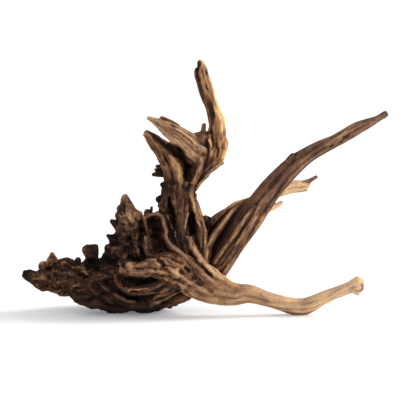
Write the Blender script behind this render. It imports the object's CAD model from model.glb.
import math
from functools import partial

import bmesh
import bpy
import numpy as np
from mathutils import Matrix, Vector, bvhtree, kdtree, noise


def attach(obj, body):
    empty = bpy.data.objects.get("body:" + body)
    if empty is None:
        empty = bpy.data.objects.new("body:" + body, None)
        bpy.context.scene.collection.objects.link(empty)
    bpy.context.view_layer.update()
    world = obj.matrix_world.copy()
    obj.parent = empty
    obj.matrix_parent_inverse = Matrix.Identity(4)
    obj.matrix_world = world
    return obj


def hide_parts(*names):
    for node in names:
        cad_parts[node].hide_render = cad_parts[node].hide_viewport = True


# A piece of aquarium driftwood. Its limbs are drawn as fluted tubes, grown together into one
# skin, carved, and parted again at the forks into one piece for each node of the frame.
# All paths and sizes in the tables are in millimetres.

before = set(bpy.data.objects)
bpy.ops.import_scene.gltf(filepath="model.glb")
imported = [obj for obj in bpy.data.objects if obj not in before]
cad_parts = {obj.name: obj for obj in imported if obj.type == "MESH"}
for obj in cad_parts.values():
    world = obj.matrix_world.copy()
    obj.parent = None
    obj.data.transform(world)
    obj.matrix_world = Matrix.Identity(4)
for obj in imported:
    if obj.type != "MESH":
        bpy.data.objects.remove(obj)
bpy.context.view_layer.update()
noise.seed_set(7)       # left unset, vector noise is another one in each run

bodySettings = {
    "centre": (-0.2, 4.4),      # the place in the tables that stands over the frame's origin
    "ringSides": 48,
    "ringStep": 3.0,
    "fluteWander": 0.5,         # how far the flutes turn to and fro along a limb, in radians
    "fluteUneven": (0.45, 0.2),
    "voxel": 0.8,
    "foldDepth": 3.0,           # growth folds of the burl
    "foldSize": (27, 20, 14),
    "foldSwirl": (40, 7),       # size and reach of what bends them
    "lumpDepth": 2.6,           # lumps of the old wood
    "lumpSize": (12, 12, 12),
    "lumpElsewhere": 0.12,      # their share on the young wood
    "triangles": 194000,        # the most that a piece keeps
    "smoothAngle": 62,
}


def limb(tone, *path, warm=0.3, flutes=3, groove=0.1, twist=0.3, knobby=0, calm=0):
    # The stations of a path are (x, y, z, half width, half depth). Tone, warmth, how knobby the wood
    # is and how little it is split and striped are one value, or one for each end of the limb.
    return {"path": path, "tone": tone, "warm": warm, "knobby": knobby, "calm": calm,
        "flutes": flutes, "groove": groove, "twist": twist}


crownLimbs = {
    "burlCore": limb((0.14, 0.18), (-4, 2, 38, 17, 20), (-14, 2, 36, 19, 24), (-28, 3, 35, 23.4, 29),
        (-45, 3, 32, 27, 34), (-65, 3, 30, 27, 36), (-85, 2, 29, 26, 35), (-101, 0, 29, 24, 31),
        (-115, -3, 29.5, 21, 27), (-129, -5, 33, 17.5, 22), (-143, -7, 37, 15.5, 17),
        (-154, -8, 36.5, 14, 14), (-164, -9, 33.4, 10.8, 10), (-171, -10, 34.4, 7.6, 6.8),
        (-177, -10, 38.6, 4.5, 4.2), (-180.6, -10, 39.8, 2.9, 3), flutes=7, groove=0.12, twist=0.8,
        knobby=(1, 0.8)),
    "coneMass": limb((0.13, 0.52), (-72, 6, 44, 22, 26), (-75, 6, 58, 21, 24), (-75, 6, 70, 17.5, 19),
        (-75.6, 6, 82, 14.4, 15), (-77.4, 6, 92, 12.8, 12.4), (-79.4, 6, 99, 9.2, 10.4),
        (-79.6, 6, 106, 5.4, 7), (-80.2, 6, 112.6, 4, 5), (-80.3, 6, 117, 2.2, 2.6), flutes=6, groove=0.18,
        twist=0.9, knobby=(0.9, 0.4)),
    "saddle": limb((0.15, 0.17), (-62, 5, 44, 20, 20), (-57, 6, 62, 17, 13), (-53, 6, 78, 13, 10),
        (-51, 6, 88, 9, 8), (-50, 5, 95, 5, 6), flutes=4, knobby=(0.9, 0.7)),
    "mushroomKnob": limb((0.16, 0.2), (-110, -6, 44, 13, 9), (-112.6, -6, 52, 8, 6.4),
        (-113.4, -6, 58, 6, 5.4), (-114.6, -6, 63.2, 6.3, 6.2), (-114.8, -6, 65.6, 5.6, 5.6), twist=0.2,
        knobby=(0.9, 0.8)),
    "knobLobe": limb((0.2, 0.24), (-111.6, -7, 61, 4, 4), (-109.6, -7, 65.6, 2.8, 3.6),
        (-109, -7, 68, 2, 2.4), twist=0.2, knobby=0.7),
    "knobLedge": limb((0.14, 0.12), (-112, 0, 46, 8, 8), (-104, 0, 46, 8, 9), (-92, 2, 50, 10, 10),
        warm=0.2, twist=0.2, knobby=1),
    "ledgePip": limb((0.12, 0.1), (-128, 1, 45, 4, 4), (-127.6, 0, 51, 3.2, 3.4), (-127.6, 0, 53.6, 1.8, 2),
        warm=0.2, twist=0.2, knobby=(0.6, 0.4)),
    "burlPeak": limb((0.14, 0.17), (-151, -8, 44, 9.5, 9), (-152.6, -8, 52, 6.4, 6),
        (-152.8, -8, 56.6, 4.2, 4), (-153, -8, 60.4, 2.2, 2.4), warm=0.35, twist=0.2, knobby=0.9),
    "shoulderLump": limb((0.16, 0.18), (-154.6, -9, 41, 5.6, 6), (-155.4, -9, 46, 4.8, 5.4),
        (-154.8, -9, 51, 4, 4.6), (-153.6, -9, 55.4, 2.8, 3.2), warm=0.4, twist=0.2, knobby=0.9),
    "snoutBarb": limb((0.2, 0.1), (-157, -12, 42.4, 2.6, 2.6), (-162.6, -12.5, 44.2, 1.5, 1.6),
        (-165.8, -13, 46, 1, 1.1), twist=0.2, knobby=(0.6, 0.4)),
    "backLedge": limb((0.22, 0.2), (-146, -4, 45.6, 6, 8), (-140, -3, 48.2, 5.4, 8), (-135.5, -1, 47, 5, 7),
        (-131, 3, 45, 4.2, 5), warm=0.35, twist=0.2, knobby=0.8),
    "ledgeLobe": limb((0.15, 0.2), (-84, 0, 58, 11, 12), (-92, -2, 62, 9, 9), (-96.6, -3, 65, 5.2, 6),
        (-99.6, -3, 66, 2.6, 3), warm=(0.3, 0.4), flutes=4, knobby=(0.9, 0.7)),
    "upperLobe": limb((0.18, 0.1), (-84, 1, 70, 8, 9), (-91, -1, 72, 6.4, 6), (-95, -2, 76, 2.8, 3),
        (-98, -3, 77.5, 1.2, 1.4), warm=0.2, knobby=(0.8, 0.5)),
    "coneSpur": limb((0.2, 0.1), (-84, 4, 84, 5, 6), (-90, 3, 88.5, 3.2, 3.6), (-94, 2, 91.5, 1.3, 1.4),
        warm=0.2, knobby=(0.6, 0.4)),
    "coneShoulder": limb((0.34, 0.4), (-75, 4, 90, 5, 6.4), (-71.8, 2, 89.6, 2.6, 4),
        (-70, 1, 89.4, 1.3, 1.8), warm=(0.6, 0.7), knobby=0.8),
    "saddleBud": limb((0.32, 0.34), (-55, -2, 92, 3.4, 3.6), (-57, -6, 97, 2.6, 3),
        (-57.6, -7, 100.8, 3.6, 3.8), (-57.8, -7, 103.4, 2.8, 3), warm=(0.4, 0.3), groove=0.08, twist=0.2),
    "saddleTwig": limb((0.2, 0.1), (-55, -8, 97, 2.4, 2.6), (-53.4, -8, 102, 1.7, 1.8),
        (-53, -8, 106.6, 1.5, 1.5), warm=0.2, groove=0.08, twist=0.2),
    "archRight": limb((0.28, 0.46), (-59.4, -18, 98.2, 1.7, 4), (-55, -21, 100.4, 1.7, 4),
        (-48, -22, 101, 1.7, 4.4), (-43.5, -23, 99.4, 1.7, 4.4), (-41.2, -23, 93.8, 1.7, 4.8),
        (-39.6, -24, 87.8, 1.7, 5), (-38, -25, 84, 2.1, 5), (-39, -25, 79.4, 2.1, 5.2),
        (-36.4, -27, 73.8, 2.4, 5.4), (-31.6, -30, 68.6, 3.2, 6), (-24, -33, 61.6, 4.4, 6.4),
        (-14, -37, 53.6, 5.4, 6), (-3, -39, 43.6, 6, 6), (11, -37, 33.4, 5.2, 5.4), (26, -34, 26.6, 3.8, 4),
        (40, -31, 24, 2.4, 2.8), warm=(0.35, 0.4), groove=0.08, twist=0.4, knobby=(0.15, 0),
        calm=(0.7, 0.5)),
    "archFlank": limb((0.3, 0.34), (-40, -12, 97, 4.4, 5), (-36.4, -15, 88, 4.8, 5), (-33, -18, 79, 5, 5),
        (-30, -21, 71, 5, 5.5), (-24, -26, 62, 5, 5.5), warm=0.35, flutes=4, groove=0.2, calm=0.6),
    "archLeft": limb((0.24, 0.28), (-58.4, -17, 98, 1.7, 4), (-59.2, -20, 93.6, 1.6, 4.6),
        (-57.6, -22, 86.6, 1.4, 5), (-56, -23, 80, 1.4, 5), (-58.4, -24, 74.6, 2, 5.2),
        (-58.8, -26, 67.8, 2, 5.4), (-55.6, -29, 62, 3, 6), (-49, -32, 59.4, 3.6, 6),
        (-40, -36, 60.4, 4.4, 6), (-29, -38, 59, 5, 6), warm=0.35, groove=0.08, twist=0.4,
        knobby=(0.2, 0.1), calm=0.7),
    "saddleWeb": limb(0.2, (-68, 6, 84.6, 6, 9), (-60, 5, 86.6, 5, 9), (-52, 5, 90, 5, 8), groove=0.08,
        twist=0.4),
    "archFloor": limb((0.3, 0.34), (-50, -2, 62, 12, 12), (-49, 0, 76, 11, 9), (-49, 1, 88, 9.4, 8),
        (-50, 1, 95, 6, 6), warm=0.35, groove=0.06, twist=0.2, knobby=(0.6, 0.5), calm=0.8),
    "archRoofLeft": limb(0.3, (-55, -20, 98.6, 3, 3), (-56, -9, 98, 3.6, 3.6), (-56, 3, 93, 4.6, 4.6),
        flutes=4, twist=0.2),
    "archRoofRight": limb(0.3, (-48, -21, 99, 3, 3), (-47, -9, 98.4, 3.6, 3.6), (-46, 3, 94, 4.6, 4.6),
        flutes=4, twist=0.2),
    "frontRoot": limb((0.38, 0.62), (-80, -44, 50.6, 4.4, 4.4), (-76, -45, 49.6, 6, 6.2),
        (-65, -44, 48.6, 6.6, 6.6), (-50, -42, 49.5, 9.4, 8.4), (-35, -38, 49, 14, 10.5),
        (-20, -34, 44, 16.5, 12), (-5, -31, 36, 17.8, 12), (10, -29, 28, 15.4, 11.5),
        (24, -28, 22.8, 11.4, 10.4), (38, -27, 22, 8.4, 8.4), (54, -26, 19, 5, 5), warm=(0.4, 0.35),
        flutes=7, groove=0.2, twist=0.5, knobby=(0.5, 0), calm=(0.2, 0.4)),
    "rootHorn": limb((0.34, 0.3), (-76, -45, 52, 3.4, 3.4), (-80, -45, 55.4, 3, 3),
        (-83.6, -45, 56, 2, 2.2), warm=0.4, knobby=0.7),
    "hookRoot": limb((0.15, 0.3), (-88.6, -35, 42, 1.8, 2.4), (-86.6, -36, 36.5, 2.4, 3),
        (-82.6, -38, 30, 3, 3.6), (-75, -40, 26.5, 3.8, 4.2), (-65, -41, 28, 4.4, 4.8),
        (-53, -41, 29.8, 4.8, 5), (-40, -39, 33.5, 6, 6), (-27, -35, 36, 8, 8), warm=(0.5, 0.2), flutes=4,
        twist=0.5, knobby=(0.35, 0.1), calm=(0.5, 0.4)),
    "braceRoot": limb((0.34, 0.4), (-60, -24, 10, 4, 4), (-54, -27, 13, 5, 5), (-43, -30, 19.5, 5.4, 5.6),
        (-30, -32, 28, 5.8, 6), (-18, -30, 34, 6.5, 7), flutes=4, groove=0.12, twist=0.4),
    "lowBrace": limb((0.28, 0.32), (-52, -12, 8, 4.6, 7), (-42, -15, 11, 5.2, 7), (-30, -18, 15.4, 5.8, 7),
        (-17, -20, 21.4, 6.2, 7), (-6, -20, 28, 7, 8), flutes=4, groove=0.12, twist=0.4),
    "keelRidge": limb(0.13, (-128, -22, 21, 3.4, 4.4), (-118, -27, 17.5, 4, 5), (-107, -29, 16, 4.2, 5),
        (-96, -31, 19, 4.4, 5), (-86, -32, 20, 4.4, 5), (-75, -31, 14.5, 4.6, 5), (-64, -29, 11, 4.6, 5),
        (-52, -24, 11, 4.4, 5), knobby=(0.35, 0.3)),
    "keelEdge": limb((0.12, 0.13), (-122.6, -15, 13.6, 4, 6), (-113, -17, 10.6, 4.4, 7),
        (-101, -17, 9.4, 4.6, 8), (-90, -16, 6.4, 5, 8), (-79, -16, 6, 4.6, 8), (-72, -16, 8, 4.4, 8),
        (-64, -15, 5.6, 4.6, 8), (-56, -13, 5.4, 4.4, 7), knobby=(0.45, 0.3)),
    "snoutFold": limb((0.17, 0.19), (-131, -19, 24, 3.6, 4), (-122, -24, 30, 4, 4.6),
        (-113, -28, 36, 4, 4.8), (-101, -31, 41, 4, 5), (-90, -31, 43, 4, 5), knobby=(0.5, 0.4)),
    "leftFoot": limb((0.22, 0.2), (-94, -8, 14, 7.5, 8), (-93, -9, 6, 6, 6.4), (-92.5, -9, 1, 5, 5.4),
        (-92.4, -9, -5, 4.4, 5), groove=0.08, twist=0.2, knobby=(0.6, 0.4)),
    "middleFoot": limb((0.22, 0.2), (-62, -4, 12, 10, 10), (-60, -5, 5, 8, 8.5), (-59, -5, 0, 7, 7.4),
        (-59, -5, -6, 6, 6.4), flutes=4, groove=0.08, twist=0.2, knobby=(0.6, 0.4)),
    "rearFootRoot": limb((0.36, 0.34), (-28, 16, 50, 10, 10), (-40, 30, 38, 9, 9), (-53, 39, 23, 7.6, 8),
        (-60, 42, 10, 6.4, 6.6), (-62, 43, 3.5, 5.8, 6), (-62.5, 43, -5, 5, 5.4), flutes=5, groove=0.12,
        twist=0.6),
    "rearLeftRoot": limb((0.3, 0.26), (-70, 20, 44, 12, 12), (-82, 30, 36, 9, 9), (-90, 36, 26, 7, 7),
        (-95, 38, 19, 5, 5.4), (-97, 38, 14.6, 3.2, 3.4), flutes=5, groove=0.12, twist=0.6,
        knobby=(0.5, 0.4)),
    "rearRib": limb((0.34, 0.42), (-62, 34, 20, 5, 5), (-48, 37, 34, 5.4, 5.6), (-33, 30, 52, 5.6, 6),
        (-27, 22, 74, 5, 5.6), (-27, 16, 98, 4.6, 5), (-28, 12.6, 118, 3.6, 4.4), (-26, 12, 132, 2.6, 3.2),
        (-24, 13, 146, 1.6, 2), warm=(0.3, 0.35), twist=0.4),
    "rearStrand": limb((0.3, 0.44), (-50, 20, 30, 4, 5), (-36, 22, 46, 5, 5.6), (-18, 20, 62, 4.6, 5.4),
        (-13, 15, 84, 4, 5), (-15, 12, 106, 4, 4.6), (-15.2, 13, 124, 4, 4.4), (-10.2, 14, 142, 3.4, 4),
        (-1, 12, 158, 3, 3.6), (5, 9, 170, 2, 2.6), warm=(0.3, 0.4), twist=0.4),
    "rearSpine": limb((0.28, 0.36), (-98, 24, 30, 5, 5), (-88, 28, 46, 5, 5), (-80, 26, 62, 4.6, 5),
        (-78, 18, 80, 4, 4.6), (-79, 12, 95, 3, 3.6), (-80, 9.6, 106, 1.6, 2), warm=(0.3, 0.35), twist=0.4,
        knobby=(0.5, 0.4)),
    "trunk": limb((0.25, 0.35), (-13, 3, 30, 22, 24), (-16, 3, 45, 20, 22), (-19, 4, 62, 18, 19),
        (-21.5, 5, 78, 17, 15), (-23.5, 4, 94, 17.5, 13.5), (-25.5, 3, 108, 16.5, 12.5),
        (-27, 2, 122, 15, 12), (-25, 2, 132, 13.5, 11), flutes=7, groove=0.26, twist=0.35, calm=0.4),
    "trunkLeftRib": limb((0.31, 0.27), (-33, 0, 128, 5, 6), (-38, -3, 116, 5, 6), (-40.5, -5, 104, 4.6, 6),
        (-40, -8, 92, 4.2, 6), (-37, -12, 80, 4.4, 6), (-33, -18, 68, 4.8, 6), warm=0.35),
    "trunkMiddleRib": limb((0.31, 0.3), (-26, -5, 128, 7, 5), (-24.4, -7.6, 116, 8.8, 5.4),
        (-24, -9, 105, 8.8, 5.6), (-23.4, -11, 96, 6.8, 5.4), (-24.2, -14, 86, 5, 5.4),
        (-22.4, -18, 74, 5, 5.4), (-19, -23, 65, 5, 6), (-12, -29, 56, 5.4, 6), warm=0.35, groove=0.06,
        twist=0.2, calm=0.8),
    "trunkRightRib": limb((0.42, 0.44), (-10.6, -4, 134, 3.2, 4), (-14.2, -5, 122, 3.2, 4),
        (-12.4, -6, 108, 3.2, 4.4), (-6.8, -8, 96, 3.4, 4.6), (-1.5, -11, 84, 3.4, 5),
        (0, -15, 70, 3.4, 5.4), (-0.5, -22, 56, 4, 6), (1, -28, 46, 4.4, 6), warm=(0.4, 0.45)),
    "hiddenRib": limb((0.4, 0.46), (-11.8, 1, 113, 3.4, 5), (-7.8, -1, 103, 3.4, 5), (-4.4, -5, 92, 3.4, 5),
        (-3.6, -10, 78, 3.6, 5), (-3, -17, 60, 4, 5), warm=(0.35, 0.4)),
    "crestStrand": limb((0.46, 0.5), (-14.6, -24, 77.4, 4.2, 3), (-13, -26, 69.5, 5.4, 3.6),
        (-8.6, -30, 60, 5.4, 4), (-0.5, -35, 49.6, 4.6, 4.6), (9, -36, 40.2, 4.6, 4.8),
        (20, -34, 32.8, 4.8, 5), (34, -31, 26.6, 4.8, 5), (48, -28, 22.8, 4.4, 5), warm=(0.3, 0.4),
        groove=0.08, twist=0.4),
    "crestTooth": limb(0.5, (-16.6, -25, 72, 2, 2.4), (-17.6, -24, 79.6, 1.1, 1.4), twist=0.2),
    "crestSplinter": limb(0.46, (-11, -25, 73, 2, 2.4), (-10.8, -24, 80.4, 1, 1.2), twist=0.2),
    "fanHump": limb(0.42, (-8, -13, 36, 3, 4), (1, -16, 53, 4, 5), (3.4, -14, 67, 3.6, 5),
        (8, -12, 77, 3.6, 5), (14.6, -8, 85, 3.8, 5), (22, -3, 95, 3.8, 5), (30, 2, 103, 3.8, 5),
        (37, 6, 107.6, 3.6, 4.6), (45, 9, 111.4, 3, 4), warm=0.35, groove=0.08),
    "fanUpper": limb((0.48, 0.42), (-4, -14, 30, 3.4, 4.4), (7.4, -18, 47.4, 4, 5), (15, -15, 58, 4, 5),
        (21.4, -13, 66.4, 4, 5), (27, -12, 74, 4, 5.2), (34, -10, 85, 4.2, 5.4), (42, -7, 96.6, 4.4, 5.4),
        (51, -3, 108, 4.4, 5), (60, 1, 119, 3.6, 4.6), (70, 5, 129, 1.8, 2.6), warm=(0.4, 0.35),
        groove=0.08),
    "fanMiddle": limb(0.4, (-3, -13, 26, 3.6, 5), (10, -19, 44, 4.2, 5), (20, -17, 55, 4.6, 5.6),
        (30, -14, 68, 4.8, 5.8), (40, -11, 81, 5, 5.8), (48.6, -7, 93.6, 4.8, 5.6), (56, -4, 104.5, 4, 4.6),
        (65, 0, 115, 1.8, 2.6), warm=0.35, groove=0.08),
    "fanLower": limb((0.5, 0.44), (2, -12, 20, 4, 5), (15.4, -16, 38.6, 4.6, 5), (23, -14, 50.4, 5, 6),
        (29.6, -12, 61.2, 5.4, 6), (37, -10, 72, 5.4, 6), (46.6, -6, 84.2, 5.4, 6), (55.6, -2, 96.6, 5, 6),
        (62.8, 2, 107.8, 4.2, 5), (70, 5, 118, 2, 2.8), warm=(0.45, 0.4), groove=0.08),
    "fanWeb": limb(0.3, (-12, -2, 22, 8, 8), (2, -3, 46, 11, 7), (9, -1, 60, 12, 7), (18, 2, 76, 12, 7),
        (29, 5, 91, 10.4, 7), (40, 7, 102, 8, 6), warm=0.25, flutes=5, groove=0.2),
    "fanKeel": limb((0.3, 0.36), (-22, 4, 20, 5, 6), (-8, 2, 24, 8, 9), (6, 0, 34, 9, 9),
        (16, -1, 48, 7, 7), flutes=5, groove=0.2, twist=0.5),
    "forkKnot": limb(0.34, (-4, 2, 91, 4, 5), (1, 3, 93.6, 3.6, 4.4), (5, 3, 93, 2.4, 2.8),
        warm=(0.45, 0.5)),
    "rearSocket": limb((0.3, 0.44), (-38, 4, 22, 3, 3), (-29, 5, 40, 6, 6.6), (-18, 8, 58, 8, 8.4),
        (-7, 11.6, 74, 8.6, 8.8), (3, 14, 82.6, 8, 8), (14, 17.6, 89, 5, 5), flutes=5, groove=0.2,
        twist=0.5),
    "trunkFoot": limb((0.36, 0.3), (-16, 6, 66, 14, 13), (-22, 6, 46, 14, 13), (-32, 5, 28, 10, 10),
        (-42, 4, 14, 5, 5), flutes=5, groove=0.2, twist=0.5),
}

headLimbs = {
    "knuckle": limb((0.34, 0.54), (-24, 2, 124, 12.5, 11), (-15, 2, 134, 11, 10), (-4, 2, 146, 11.6, 10.5),
        (6, 2, 158, 13, 11.5), (9.5, 2, 168, 12.4, 11), (10.5, 2, 177, 10.4, 9.6), warm=(0.35, 0.65),
        flutes=6, groove=0.28, twist=0.5, knobby=(0.1, 0.3)),
    "knuckleCorner": limb(0.44, (8, 0, 152, 6, 6), (14, -1, 150.5, 3.8, 4), (18.6, -1, 150, 1.6, 1.8),
        warm=(0.4, 0.5), knobby=0.4),
    "knuckleSide": limb((0.56, 0.72), (14, 0, 156, 6, 7), (16.5, 0, 165, 5, 6), (17.5, 0, 172, 3.4, 4.4),
        (15, 1, 179, 3, 4), warm=(0.6, 0.9), knobby=(0.4, 0.2)),
    "hollowBack": limb((0.3, 0.36), (-24, 5, 118, 6, 6), (-19, 8, 132, 10, 7), (-20, 9.6, 146, 11, 6.6),
        (-22, 8, 158, 10, 6), (-25, 3, 168, 6.4, 5), (-30, -1, 176, 3, 3.6), warm=(0.3, 0.35), flutes=5,
        groove=0.3, twist=0.5),
    "headStrand": limb((0.36, 0.42), (-34, 9, 112, 4, 4), (-33, 12, 128, 4, 4.4), (-31, 13, 144, 4, 4.4),
        (-34, 8, 157, 3.8, 4), (-40, 2, 167, 3, 3.4), (-47, -3, 175, 1.8, 2.2), warm=(0.4, 0.5), twist=0.4),
    "hollowRim": limb((0.42, 0.4), (-4, -7, 156, 5, 5), (-5, -8, 147, 4.4, 4.6), (-8, -8, 139, 3.8, 4.2),
        (-12, -7, 130, 3.4, 4), warm=0.4),
    "prongForkStub": limb((0.36, 0.3), (-2.4, 0, 175, 4, 4), (-1.6, -1, 182, 2.6, 2.8),
        (-1, -1, 188.6, 2, 2.2), groove=0.12, twist=0.2),
    "prongCrotch": limb(0.46, (-20, -3, 165, 9, 8), (-9, -1, 171, 8.6, 8), (1, 0, 175, 7, 7), warm=0.4,
        flutes=4, groove=0.15),
    "trunkSpur": limb((0.2, 0.1), (-32, 5, 141, 4.4, 5), (-40, 7, 139, 4, 4), (-47, 8, 137.6, 3, 3.2),
        (-52.6, 8, 137.4, 1.4, 1.6), groove=0.12),
    "spurSplinter": limb((0.2, 0.1), (-34, 5, 143, 4, 4), (-43, 6, 145, 2.6, 3), (-49, 6, 146, 1.2, 1.6),
        groove=0.12),
    "spurTooth": limb((0.16, 0.1), (-36, 8, 141.6, 3, 3), (-45, 10, 141.8, 2.2, 2.4),
        (-50.6, 10, 142.4, 1.1, 1.3), groove=0.12),
    "sideBurrHigh": limb((0.15, 0.08), (-34, 3, 127, 6.6, 6), (-40, 3, 127.4, 4.6, 4.6),
        (-44.4, 3, 128.4, 1.6, 2), warm=0.2),
    "sideBurrLow": limb((0.15, 0.08), (-37, 4, 111, 7, 7), (-44, 4, 112.4, 5.6, 5.6),
        (-48.8, 4, 112.6, 2.8, 3), warm=0.2),
    "sideBurrFoot": limb((0.12, 0.08), (-38, 4, 106, 5, 5), (-44, 4, 107, 3.4, 3.6),
        (-47.6, 4, 106, 1.4, 1.6), warm=0.2),
}

longLimbs = {
    "uprightBranch": limb((0.56, 0.58), (8, 2, 160, 11, 10), (11.2, 2, 176, 9.4, 9.4), (12, 2, 186, 7.6, 8),
        (10.6, 2, 195, 7.4, 7.8), (7, 2, 206, 6.6, 6.8), (3.2, 3, 216, 7.1, 6.6), (0, 3, 226, 7.2, 6.6),
        (-2.4, 4, 234, 6.8, 6.2), (-3, 4, 240, 6, 5.6), (-3.2, 4, 245, 4.2, 4.2),
        (-3.8, 4, 248.8, 2.5, 2.8), (-4.4, 4, 251, 1.6, 1.8), warm=0.7, flutes=4, groove=0.3, twist=0.5),
    "uprightTip": limb((0.4, 0.2), (-4.6, 4, 241, 3.2, 3.4), (-5.8, 4, 247, 2, 2.2),
        (-6.2, 4, 251.6, 1, 1.2), warm=(0.4, 0.3), twist=0.2),
    "uprightSplinter": limb((0.4, 0.2), (-4, 3, 228, 3.4, 3.4), (-7.4, 3, 235, 3, 3.2),
        (-8.8, 3, 240, 2, 2.2), (-8.9, 3, 243.4, 1.1, 1.3), warm=(0.5, 0.3), twist=0.2),
    "uprightSnag": limb((0.7, 0.8), (13, 1, 186, 5, 5), (17, 1, 191, 3, 3.4), (19.6, 1, 194, 1.4, 1.6),
        warm=0.9, twist=0.2),
    "pointedProng": limb((0.56, 0.66), (2, 0, 155, 12, 10), (-10, -3, 162, 13, 9.6),
        (-21, -6, 171.4, 11.2, 8.6), (-33.2, -10, 181, 8.8, 7.2), (-42.6, -13, 188, 5.4, 5),
        (-50, -15, 192.4, 3, 3.2), (-56.6, -16, 195.6, 1.5, 1.6), warm=(0.25, 0.5), flutes=5, groove=0.3,
        twist=0.4),
    "pointedSplinter": limb(0.42, (-28, -7, 184, 5, 4.4), (-37, -9, 190.6, 4, 3.4), (-44, -10, 195, 2.2, 2),
        warm=0.45, groove=0.12, twist=0.2),
    "brokenProng": limb((0.33, 0.47), (-28, 1, 116, 10, 9), (-28.4, 0, 128, 10, 9),
        (-30.4, -2, 138, 10.2, 8.8), (-33.4, -4, 148, 9.6, 8.2), (-37.8, -6, 157, 9, 7.6),
        (-43.8, -8, 165.6, 8, 6.8), (-50.8, -9, 173.4, 6.6, 5.6), (-56.8, -10, 178.6, 4.2, 4),
        (-60, -10, 179.4, 2.6, 2.8), warm=(0.4, 0.65), flutes=4, groove=0.46, twist=0.4),
    "brokenTooth": limb((0.2, 0.1), (-50, -9, 176.6, 3.4, 3.6), (-55, -10, 182, 2.4, 2.6),
        (-58, -10, 185, 1.1, 1.3), twist=0.2),
    "lowerArm": limb((0.56, 0.91), (10, -29, 28, 15, 11.5), (26, -28, 21.8, 10.8, 10.2),
        (44, -27, 22.2, 8.9, 8.8), (60, -25, 17.2, 7.4, 7.6), (76, -23, 11.8, 7.4, 7.4),
        (92, -21, 8, 8, 7.8), (103, -20, 9.6, 7.6, 7.4), (115, -20, 15.4, 6.6, 6.4),
        (129, -21, 21.8, 5.7, 5.5), (141, -23, 26.8, 5.5, 5.4), (148, -24, 29.8, 6.6, 6.2),
        (152, -25, 31, 8, 7), (154.6, -25, 31, 6.6, 6), warm=(0.4, 0.3), flutes=5, groove=0.22, twist=1.1,
        calm=(0.6, 0.9)),
    "armChin": limb((0.84, 0.7), (147, -27, 26, 3.4, 4), (150.6, -28, 23, 2.4, 3),
        (151.6, -28, 21.4, 1.4, 1.8), warm=0.2),
    "upperArm": limb((0.29, 0.48), (10, -2, 43, 9.4, 9), (17.2, -1, 57, 11.2, 10.5),
        (27.8, 0, 72.8, 12.8, 11.5), (40.6, 1, 90.4, 12.8, 11.5), (54.6, 2, 107.8, 11.8, 10.8),
        (65.4, 5, 122, 10.9, 9.8), (77.6, 7, 135.4, 10, 9), (91, 9, 148.2, 9, 8.2), (103, 10, 157, 7.7, 7),
        (115, 10, 163.8, 6.9, 6.4), (128, 10, 169.8, 6.1, 5.6), (141, 10, 177, 6.1, 5.2),
        (153, 10, 184, 5.9, 5), (164, 10, 189, 4.6, 4.2), (172.6, 10, 193, 3.2, 3),
        (180, 10, 197.6, 3.2, 3), (181.8, 10, 198.6, 2.8, 2.6), warm=(0.22, 0.12), flutes=5, groove=0.21,
        twist=1.3, calm=(1, 0.7)),
    "upperArmKnot": limb((0.36, 0.32), (84, 6, 150, 5, 5), (87, 5, 156, 3, 3.4), (88.6, 5, 158.6, 1.6, 2),
        twist=0.2),
    "rearBranch": limb((0.7, 0.76), (-4, 12, 77, 8, 8), (9, 16, 86, 7.8, 7.8), (22, 20, 93.4, 7.8, 7.8),
        (34, 24, 101.6, 7.4, 7.2), (46, 30, 105.4, 6.8, 6.8), (60, 38, 111, 6.2, 6.2),
        (75, 46, 117, 6.2, 6), (87, 52, 120.2, 6.5, 6), (96, 56, 121.4, 6.6, 5.8),
        (102, 58, 121.8, 5.6, 4.8), (106.6, 59, 123, 3.6, 3.2), (109, 59.6, 124, 1.8, 1.8),
        warm=(0.35, 0.4), flutes=4, groove=0.2, twist=0.9, calm=1),
    "rearHook": limb((0.78, 0.28), (92, 54, 123, 3.6, 4), (101, 57, 124.8, 2.8, 3),
        (109, 59, 127.2, 2.2, 2.4), (114.4, 60, 130.2, 1.8, 2), (116, 60, 131.2, 1.5, 1.8), warm=(0.4, 0.1),
        groove=0.12),
    "rearTooth": limb((0.8, 0.5), (92, 55, 118.6, 3.4, 3.4), (100, 57, 117.4, 2.4, 2.4),
        (105.6, 58, 117.4, 1.3, 1.4), warm=(0.5, 0.2), groove=0.12),
    "rearTwig": limb((0.84, 0.88), (44, 27, 103, 4.6, 4.6), (57, 34, 100, 3.8, 3.8),
        (67, 39, 100.4, 3.4, 3.4), (74, 42, 102.8, 2.8, 2.8), (79.4, 44, 106, 1.9, 1.9), flutes=4,
        groove=0.12, twist=0.5, calm=1),
}

# Hollows worn into the front: start and end in (x, z), half widths at both, depth, and where in y
hollows = {
    "headHollow": ((-28, 163), (-18, 138), 6.5, 5, 6, -8),
    "trunkLeftHollow": ((-35, 114), (-31, 92), 3, 3.4, 5, -8),
    "trunkRightHollow": ((-13.4, 98), (-12.4, 69), 3.6, 4.2, 7, -10),
    "archHollow": ((-49, 90), (-47, 70), 6, 7, 6, -8),
    "knobPit": ((-78.5, 52.5), (-77, 51.5), 3.2, 3.2, 2.6, -48),
    "rootPit": ((-42, 51), (-38, 51.5), 3.4, 3.4, 4, -48),
    "rootTrough": ((-24, 47), (-12, 39), 3.4, 4, 3, -44),
    "armTrough": ((-10, 36), (6, 27), 3.4, 3.4, 1.8, -42),
    "burlPit": ((-131, 50), (-124, 45), 3.6, 3.6, 4, -24),
    "burlSlit": ((-117, 44), (-107, 45), 2.6, 2.6, 4, -26),
    "burlDark": ((-100, 51), (-86, 53), 5, 4, 5, -26),
    "coneCrease": ((-92, 77), (-74, 74), 3, 4, 4, -14),
    "saddlePit": ((-66, 84), (-60, 78), 4, 4, 5, -8),
}

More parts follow.
